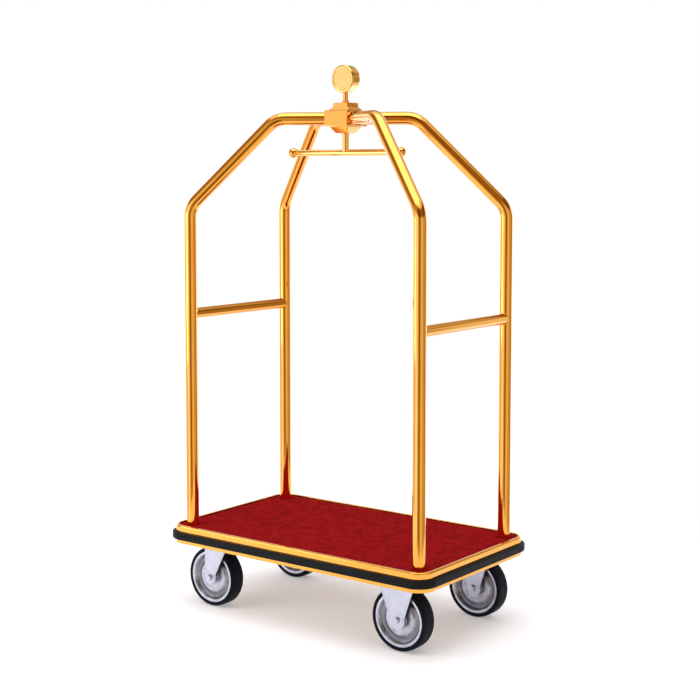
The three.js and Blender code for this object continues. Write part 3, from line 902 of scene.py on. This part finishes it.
def add_rail_ball(place, rail_radius):
    """The ball on an end of the rail, with its collar."""
    low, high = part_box(f"rail_ball_{place}")
    centre = (low + high) / 2
    radius = (high.z - low.z) / 2
    inward = Matrix.Rotation(math.pi, 4, "Z") if place == "right" else UNTURNED
    neck = math.sqrt(radius ** 2 - rail_radius ** 2)
    steps = 24
    outline = [(0, -radius)]
    for k in range(1, steps):
        angle = math.pi * k / steps
        r = radius * math.sin(angle)
        z = -radius * math.cos(angle)
        if z < neck - mm(0.5) or r > rail_radius + mm(1.4):
            outline.append((r, z))
    outline += [
        (rail_radius + mm(2), neck - mm(0.4)),
        (rail_radius + mm(2), neck + mm(2.6)),
        (rail_radius + mm(1.2), neck + mm(3.4)),
        (0, neck + mm(3.4)),
    ]
    ball = turned(outline, 40, Matrix.Translation(centre) @ inward @ ALONG_X)
    add_piece(f"rail_knob_{place}", ball, "gold", "cart", [f"rail_ball_{place}"], sharp_degrees=40)


add_hub()
add_finial()
add_hanging_rail()

# ---------------- wheels

WHEEL_SEGMENTS = 96
AXLE_Z = WHEEL_RADIUS
SLEEVE_BORE = mm(6.9)
SLEEVE_RADIUS = mm(13.7)
RIM_INSET = mm(3)  # from the tyre's side to the disc's rim
PLATE_INSET = mm(6.4)  # from the disc's rim to its flat middle
RIVET_COUNT = 5
RIVET_CIRCLE = mm(45)
RIVET_TURN = 0.15  # of the space between two rivets


def axle_centre(corner):
    low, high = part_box(f"tyre_{corner}")
    return Vector(((low.x + high.x) / 2, (low.y + high.y) / 2, AXLE_Z))


def add_tyre(corner, half, at):
    """half is half the tyre's width, which its side wall is measured from."""
    side_wall = [
        mm(88.4, -8),
        mm(88.4, -2.2, 1),
        mm(91, -0.2, 1.2),
        mm(93, 0, 0.8),
        mm(94, -0.8, 0.6),
        mm(97.5, -0.9, 3),
        mm(100.7, -6, 5),
        mm(101.5, -17, 30),
    ]
    wall = [(r, half + y, *fillet) for r, y, *fillet in side_wall]
    other = [(r, -y, *fillet) for r, y, *fillet in reversed(wall)]
    tyre = turned(wall + other, WHEEL_SEGMENTS, at, closed=True)
    add_piece(f"tread_{corner}", tyre, "tyre_rubber", f"wheel_{corner}", [f"tyre_{corner}"],
              sharp_degrees=45)


def add_sleeve(corner, centre, at):
    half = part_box(f"wheel_sleeve_{corner}")[1].y - centre.y
    sleeve = turned([
        (SLEEVE_BORE, -half),
        (SLEEVE_RADIUS, -half, mm(1)),
        (SLEEVE_RADIUS, half, mm(1)),
        (SLEEVE_BORE, half),
    ], 40, at, closed=True)
    add_piece(f"bearing_{corner}", sleeve, "dark_steel", f"wheel_{corner}", [f"wheel_sleeve_{corner}"])


def add_disc(place, corner, rim_y, at):
    """One pressed disc. Its outline's heights are from its rim, rim_y from the wheel's middle."""
    at_rim = at @ raised(rim_y)
    disc = turned([
        mm(14, -9),
        mm(14, -6.4, 0.4),
        mm(51, -6.4, 3),
        mm(60, -11.4, 4),
        mm(71, -11.4, 5),
        mm(79, -0.8, 3),
        mm(82, 0, 2),
        (DISC_RADIUS, 0, mm(1.4)),
        (DISC_RADIUS, mm(0.3) - rim_y),
        (mm(85.4), mm(0.3) - rim_y),
        mm(85.4, -2.6, 1),
        mm(81, -3, 1),
        mm(73, -14, 2),
        mm(58.5, -14, 2),
        mm(50, -9, 2),
    ], WHEEL_SEGMENTS, at_rim, closed=True, steps=5)
    add_piece(f"wheel_web_{place}_{corner}", disc, "zinc", f"wheel_{corner}",
              [f"wheel_disc_{place}_{corner}"], finish=DISC_FINISH)


def add_disc_cover(place, corner, plate_y, at):
    """The bearing's cover and the rivets, on the disc's flat middle."""
    on_plate = at @ raised(plate_y)
    cover = turned([
        mm(13.9, -0.2),
        mm(27, -0.2),
        mm(26, 1.8, 1),
        mm(19, 2.4, 1),
        mm(17.5, 4.8, 0.8),
        mm(13.9, 4.8, 0.4),
    ], 48, on_plate, closed=True)
    rivets = []
    for k in range(RIVET_COUNT):
        turn = Matrix.Rotation(2 * math.pi * (k + RIVET_TURN) / RIVET_COUNT, 4, "Z")
        spot = turn @ Matrix.Translation((RIVET_CIRCLE, 0, -mm(0.1)))
        rivets.append(dome(mm(3.4), mm(1.9), on_plate @ spot))
    add_piece(f"wheel_cover_{place}_{corner}", merge(cover, *rivets), "zinc", f"wheel_{corner}")


def add_wheel(corner, side_y):
    """Tyre, bearing sleeve and two pressed discs, about the wheel's axle."""
    centre = axle_centre(corner)
    at = Matrix.Translation(centre) @ ALONG_Y
    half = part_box(f"tyre_{corner}")[1].y - centre.y
    add_tyre(corner, half, at)
    add_sleeve(corner, centre, at)
    rim_y = half - RIM_INSET
    for place, facing in (("outer", side_y), ("inner", -side_y)):
        towards = at if facing > 0 else at @ UPSIDE_DOWN
        add_disc(place, corner, rim_y, towards)
        add_disc_cover(place, corner, rim_y - PLATE_INSET, towards)


# ---------------- casters

FORK_INNER = mm(32.5)
FORK_SHEET = mm(3.5)
FORK_SHOULDER = mm(14)
TAPER_TOP = mm(213)
TAPER_END = mm(12)  # above the axle
FLANGE = mm(1.5)  # how far the pressed edge of a leg stands out
FLANGE_WIDTH = mm(7)
CREASE = mm(0.8)  # height and half width of the pressed line where a leg's straight part meets its wing
CREASE_START = mm(128)
CREASE_RUN_IN = mm(12)
WING_SLOPE = 0.06  # how far a leg's wing leans outward beyond that line
SWIVEL_LEG = {"left": mm(-20), "right": mm(82), "foot_left": mm(-20), "foot_right": mm(27)}
FIXED_LEG = {"left": mm(-66), "right": mm(66), "foot_left": mm(-30), "foot_right": mm(30)}


def leg_edges(leg, z):
    """The leg's left and right edge at a height."""
    middle = (leg["foot_left"] + leg["foot_right"]) / 2
    half = (leg["foot_right"] - leg["foot_left"]) / 2
    if z < AXLE_Z:
        half = math.sqrt(max(0.0, half ** 2 - (AXLE_Z - z) ** 2))
        return middle - half, middle + half
    taper_start = AXLE_Z + TAPER_END
    share = min(max((z - taper_start) / (TAPER_TOP - taper_start), 0), 1)
    left = leg["foot_left"] + share * (leg["left"] - leg["foot_left"])
    right = leg["foot_right"] + share * (leg["right"] - leg["foot_right"])
    return left, right


def leg_section(leg, z, relief):
    """The leg's cross-section at a height, as (x, outward lift) points.

    relief, from 0 to 1, is how much of the pressed edge and crease shows. All of it narrows towards the
    foot with the leg.
    """
    left, right = leg_edges(leg, z)
    width = right - left
    lift = FLANGE * min(1.0, width / mm(30)) * relief
    chamfer = min(mm(0.8), width / 12)
    edge = min(FLANGE_WIDTH, width / 4)
    edge_columns = [
        (0, lift),
        (chamfer, lift),
        (0.45 * edge, lift),
        (0.75 * edge, 0.6 * lift),
        (edge, 0.0),
    ]
    nearest_crease = edge + 3 * min(CREASE, width / 20)
    pressed = relief * min(max((z - CREASE_START) / CREASE_RUN_IN, 0.0), 1.0)
    halves = []
    for wing in (leg["foot_left"] - left, right - leg["foot_right"]):
        crease = min(max(wing, nearest_crease), 0.45 * width)
        half_width = min(CREASE, width / 50)
        crease_columns = [
            (crease - half_width, 0.0),
            (crease, CREASE * pressed),
            (crease + half_width, 0.0),
        ]
        half = []
        for across, rise in edge_columns + crease_columns:
            half.append((across, rise + WING_SLOPE * max(0.0, wing - across) * pressed))
        halves.append(half)
    columns = [(left + across, rise) for across, rise in halves[0]]
    columns.append(((left + right) / 2, 0.0))
    columns += [(right - across, rise) for across, rise in reversed(halves[1])]
    skims = [chamfer] + [0.0] * (len(columns) - 2) + [chamfer]
    outer = [(x, rise + FORK_SHEET - skim) for (x, rise), skim in zip(columns, skims)]
    inner = [(x, rise + skim) for (x, rise), skim in zip(columns, skims)]
    return outer + inner[::-1]


FOOT_ANGLE = math.radians(84)  # how far below level the foot's round end starts
FOOT_STEPS = 10
LEG_STEPS = 14
BEND_STEPS = 8


def fork_shape(leg, top, centre):
    """A pressed fork: one sheet bent to a U over the wheel, its legs' edges turned out a little."""
    foot_half = (leg["foot_right"] - leg["foot_left"]) / 2
    bend_z = top - FORK_SHEET - FORK_SHOULDER
    stations = []
    for k in range(FOOT_STEPS):
        drop = FOOT_ANGLE * (1 - k / FOOT_STEPS)
        stations.append((FORK_INNER, AXLE_Z - foot_half * math.sin(drop), 0.0))
    for k in range(LEG_STEPS + 1):
        stations.append((FORK_INNER, AXLE_Z + (bend_z - AXLE_Z) * k / LEG_STEPS, 0.0))
    for k in range(1, BEND_STEPS + 1):
        turn = math.pi / 2 * k / BEND_STEPS
        y = FORK_INNER - FORK_SHOULDER * (1 - math.cos(turn))
        stations.append((y, bend_z + FORK_SHOULDER * math.sin(turn), turn))
    stations += [(-y, z, math.pi - turn) for y, z, turn in reversed(stations)]
    rings = []
    for y, z, turn in stations:
        section = leg_section(leg, z, math.cos(turn) ** 2)
        outward = Vector((0, math.cos(turn), math.sin(turn)))
        rings.append([centre + Vector((x, y, z)) + outward * lift for x, lift in section])
    return skin(rings)


PLATE_BOLTS = [(x, y) for x in (mm(-57), mm(57)) for y in (mm(-38), mm(38))]
PLATE_THICKNESS = mm(4)
PLATE_TOP = mm(238)
PLATE_BOTTOM = PLATE_TOP - PLATE_THICKNESS
PLATE_CORNER = mm(10)
CHANNEL_WEB_TOP = PLATE_TOP + mm(2.8)
BOLT_RADIUS = mm(4)
BOLT_HEX = mm(13)  # across flats
BOLT_WASHER = mm(1)
WASHER = mm(1.6)
AXLE_RADIUS = mm(6)
AXLE_THREAD = mm(12.3)  # that stands out of the fork
HEX_ACROSS = mm(19)
RACE_BORE = mm(6.3)
PIN_RADIUS = mm(6)
PIN_HEAD = mm(10)
PIN_NUT_HEIGHT = mm(9)


def top_plate(x, y):
    """A plate and its four bolts: heads and washers below it, nuts inside the channel above it."""
    washer_bottom = PLATE_BOTTOM - BOLT_WASHER
    washer = [
        (0, washer_bottom),
        (mm(8.5), washer_bottom, mm(0.4)),
        (mm(8.5), PLATE_BOTTOM, mm(0.3)),
        (0, PLATE_BOTTOM),
    ]
    plate = block(mm(70), mm(50), PLATE_CORNER, [
        (-mm(9), PLATE_BOTTOM),
        (0, PLATE_BOTTOM, mm(0.9)),
        (0, PLATE_TOP, mm(0.9)),
        (-mm(9), PLATE_TOP),
    ], steps=8)
    shapes = [moved(plate, Matrix.Translation((x, y, 0)))]
    for bolt_x, bolt_y in PLATE_BOLTS:
        at = Matrix.Translation((x + bolt_x, y + bolt_y, 0))
        on_web = at @ raised(CHANNEL_WEB_TOP)
        shapes += [
            hexagon(BOLT_HEX, mm(5), at @ raised(washer_bottom - mm(5))),
            turned(washer, 24, at),
            hexagon(BOLT_HEX, mm(6.5), on_web),
            thread(BOLT_RADIUS, mm(9.5), on_web, pitch=mm(1.25)),
        ]
    return merge(*shapes)


def add_axle(corner, body, centre):
    """A bolt through the fork: washer and head at the front, washer, nut and thread at the back."""
    at = Matrix.Translation(centre)
    face = FORK_INNER + FORK_SHEET
    to_front = at @ Matrix.Translation((0, -face, 0)) @ AGAINST_Y
    to_back = at @ Matrix.Translation((0, face, 0)) @ ALONG_Y
    on_washer = raised(WASHER)
    washer = [
        (0, 0),
        (mm(12.5), 0, mm(0.3)),
        (mm(12.5), WASHER, mm(0.5)),
        (0, WASHER),
    ]
    shaft = [(0, -face), (AXLE_RADIUS, -face), (AXLE_RADIUS, face), (0, face)]
    axle = merge(
        turned(washer, 32, to_front),
        turned(washer, 32, to_back),
        hexagon(HEX_ACROSS, mm(7), to_front @ on_washer),
        hexagon(HEX_ACROSS, mm(8), to_back @ on_washer),
        thread(AXLE_RADIUS, AXLE_THREAD, to_back),
        turned(shaft, 32, at @ ALONG_Y),
    )
    add_piece(f"axle_{corner}", axle, "zinc", body, [f"axle_bolt_{corner}"])


def add_swivel_race(corner, at, pin_x):
    low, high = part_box(f"swivel_race_{corner}")
    radius = high.x - pin_x
    race = turned([
        (RACE_BORE, low.z),
        (radius - mm(7), low.z, mm(1)),
        (radius - mm(1), low.z + mm(2.2), mm(2)),
        (radius, high.z - mm(2.4), mm(1.2)),
        (radius - mm(3), high.z, mm(0.8)),
        (RACE_BORE, high.z),
    ], 64, at, closed=True)
    add_piece(f"race_{corner}", race, "zinc", "cart", [f"swivel_race_{corner}"])


def add_kingpin(corner, at, fork_top):
    """The pin's head is sunk in the plate, and its nut hangs under the fork's top."""
    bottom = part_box(f"kingpin_{corner}")[0].z + mm(1)
    head_top = PLATE_TOP - mm(0.3)
    pin = turned([
        (0, bottom),
        (PIN_RADIUS, bottom),
        (PIN_RADIUS, PLATE_BOTTOM),
        (PIN_HEAD, PLATE_BOTTOM),
        (PIN_HEAD, head_top),
        (0, head_top),
    ], 32, at)
    nut_bottom = fork_top - FORK_SHEET - mm(0.3) - PIN_NUT_HEIGHT
    nut = hexagon(HEX_ACROSS, PIN_NUT_HEIGHT, at @ raised(nut_bottom))
    add_piece(f"pivot_{corner}", merge(pin, nut), "zinc", "cart", [f"kingpin_{corner}"])


def add_swivel_caster(corner, centre):
    """The wheel trails behind the kingpin, so the plate is off the wheel's middle."""
    body = f"swivel_{corner}"
    plate_low, plate_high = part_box(f"caster_plate_{corner}")
    fork_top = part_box(f"swivel_fork_{corner}")[1].z
    pin_x = (plate_low.x + plate_high.x) / 2
    at = Matrix.Translation((pin_x, centre.y, 0))
    plate = top_plate(pin_x, centre.y)
    add_piece(f"top_plate_{corner}", plate, "zinc", "cart", [f"caster_plate_{corner}"])
    add_swivel_race(corner, at, pin_x)
    add_kingpin(corner, at, fork_top)
    fork = fork_shape(SWIVEL_LEG, fork_top, Vector((centre.x, centre.y, 0)))
    add_piece(f"fork_{corner}", fork, "zinc", body, [f"swivel_fork_{corner}"], sharp_degrees=50)
    add_axle(corner, body, centre)


def add_fixed_caster(corner, centre):
    """The fork hangs from its own top plate, over the wheel's middle."""
    fork = fork_shape(FIXED_LEG, PLATE_BOTTOM, Vector((centre.x, centre.y, 0)))
    add_piece(f"fork_{corner}", fork, "zinc", "cart", [f"fixed_fork_{corner}"], sharp_degrees=50)
    add_piece(f"top_plate_{corner}", top_plate(centre.x, centre.y), "zinc", "cart")
    add_axle(corner, "cart", centre)


for corner, side_x, side_y in CORNERS:
    add_wheel(corner, side_y)
    add_caster = add_swivel_caster if side_x < 0 else add_fixed_caster
    add_caster(corner, axle_centre(corner))

# ---------------- studio

STUDIO_PEAK = 2.0
# how bright the studio is round the cart: degrees from the camera, + to its right, and the level there
STUDIO_AROUND = [
    (-180, 1.0), (-152, 1.8), (-132, 1.8), (-118, 0.8), (-92, 0.8), (-84, 1.25),
    (-68, 1.25), (-60, 1.7), (-48, 1.7), (-36, 0.8), (-24, 0.7), (-14, 0.25),
    (-2, 0.25), (12, 0.85), (42, 0.95), (54, 0.55), (70, 0.7), (88, 0.45),
    (107, 0.4), (111, 1.0), (126, 1.8), (150, 1.8), (180, 1.0),
]
# degrees above the horizon, and what the level is multiplied by there
STUDIO_HEIGHT = [(-90, 0.8), (-8, 1.0), (14, 1.0), (22, 0.35), (42, 0.35), (52, 1.1), (90, 1.1)]
OVERHEAD_LEVEL = 1.15
OVERHEAD_START = 0.68  # sine of the angle above the horizon
OVERHEAD_FULL = 0.82
# the colour of each level: dim parts of the studio are brown, bright ones bluish white
STUDIO_TONES = [
    (0.0, (0, 0, 0)),
    (0.25, (0.27, 0.14, 0.03)),
    (0.5, (0.5, 0.4, 0.2)),
    (0.8, (0.85, 0.8, 0.6)),
    (1.1, (1.1, 1.1, 1.15)),
    (1.6, (1.6, 1.6, 2.4)),
    (2.0, (2.0, 2.0, 3.2)),
]
FLOOR_RADIUS = 1.7


def direction(azimuth):
    """A level direction from the cart, in degrees from the camera's."""
    angle = CAMERA_YAW + math.radians(azimuth)
    return math.sin(angle), -math.cos(angle), 0


def studio_level(studio, outward):
    """How bright the studio is in a direction."""
    to_right = studio.dot(outward, direction(90))
    to_camera = studio.dot(outward, direction(0))
    angle = studio.math("ARCTAN2", to_right, to_camera)
    share = studio.math("ADD", studio.math("DIVIDE", angle, 2 * math.pi), 0.5)
    around_stops = [(0.5 + degrees / 360, level / STUDIO_PEAK) for degrees, level in STUDIO_AROUND]
    around = studio.ramp(share, around_stops, "EASE")
    height = studio.dot(outward, (0, 0, 1))
    height_stops = []
    for degrees, factor in STUDIO_HEIGHT:
        height_stops.append((0.5 + 0.5 * math.sin(math.radians(degrees)), factor / STUDIO_PEAK))
    height_share = studio.math("ADD", studio.math("DIVIDE", height, 2), 0.5)
    by_height = studio.ramp(height_share, height_stops, "EASE")
    level = studio.math("MULTIPLY", studio.math("MULTIPLY", around, by_height), STUDIO_PEAK ** 2)
    overhead = studio.smooth_step(height, OVERHEAD_START, OVERHEAD_FULL)
    to_overhead = studio.math("MULTIPLY", overhead, studio.math("SUBTRACT", OVERHEAD_LEVEL, level))
    return studio.math("ADD", level, to_overhead)


def add_world():
    """The studio that the gold and the zinc reflect, behind a plain white backdrop."""
    world = bpy.data.worlds.new("studio")
    bpy.context.scene.world = world
    world.use_nodes = True
    studio = Graph(world.node_tree)
    outward = studio.nodes.new("ShaderNodeTexCoord").outputs["Generated"]
    tone_stops = []
    for level, colour in STUDIO_TONES:
        tone_stops.append((level / STUDIO_PEAK, tuple(channel / STUDIO_PEAK for channel in colour)))
    level = studio_level(studio, outward)
    tone = studio.ramp(studio.math("DIVIDE", level, STUDIO_PEAK), tone_stops)
    background = studio.nodes["Background"]
    background.inputs["Strength"].default_value = STUDIO_PEAK
    studio.links.new(tone, background.inputs["Color"])
    backdrop = studio.nodes.new("ShaderNodeBackground")
    backdrop.inputs["Color"].default_value = (1, 1, 1, 1)
    mix = studio.nodes.new("ShaderNodeMixShader")
    is_camera_ray = studio.nodes.new("ShaderNodeLightPath").outputs["Is Camera Ray"]
    studio.links.new(is_camera_ray, mix.inputs["Fac"])
    studio.links.new(background.outputs["Background"], mix.inputs[1])
    studio.links.new(backdrop.outputs["Background"], mix.inputs[2])
    studio.links.new(mix.outputs["Shader"], studio.nodes["World Output"].inputs["Surface"])


def add_area_light(name, place, target, side, watts):
    data = bpy.data.lights.new(name, "AREA")
    data.shape = "SQUARE"
    data.size = side
    data.energy = watts
    light = new_object(name, data)
    light.location = place
    light.rotation_euler = (Vector(target) - Vector(place)).to_track_quat("-Z", "Y").to_euler()


def add_floor():
    """A round pale floor: small, so that the posts reflect the studio and not an endless floor."""
    surface = Surface("studio_floor", roughness=0.9, specular_ior_level=0.0,
                      emission_color=(1, 1, 1, 1), emission_strength=0.3)
    surface.colour(surface.ramp(surface.noise(1.5, detail=2), [(0.3, 0.93), (0.7, 0.95)]))
    mesh = bpy.data.meshes.new("studio_floor")
    disc = bmesh.new()
    bmesh.ops.create_circle(disc, cap_ends=True, segments=128, radius=FLOOR_RADIUS)
    disc.to_mesh(mesh)
    disc.free()
    mesh.materials.append(surface.material)
    new_object("studio_floor", mesh)


add_world()
add_floor()
add_area_light("overhead", place=(0.3, -0.6, 4.4), target=(0, 0, 0.3), side=3.0, watts=45)
add_area_light("left_front", place=(-1.7, -1.9, 1.0), target=(-0.8, -0.9, 0), side=1.2, watts=12)
bpy.context.scene.view_settings.view_transform = "Standard"
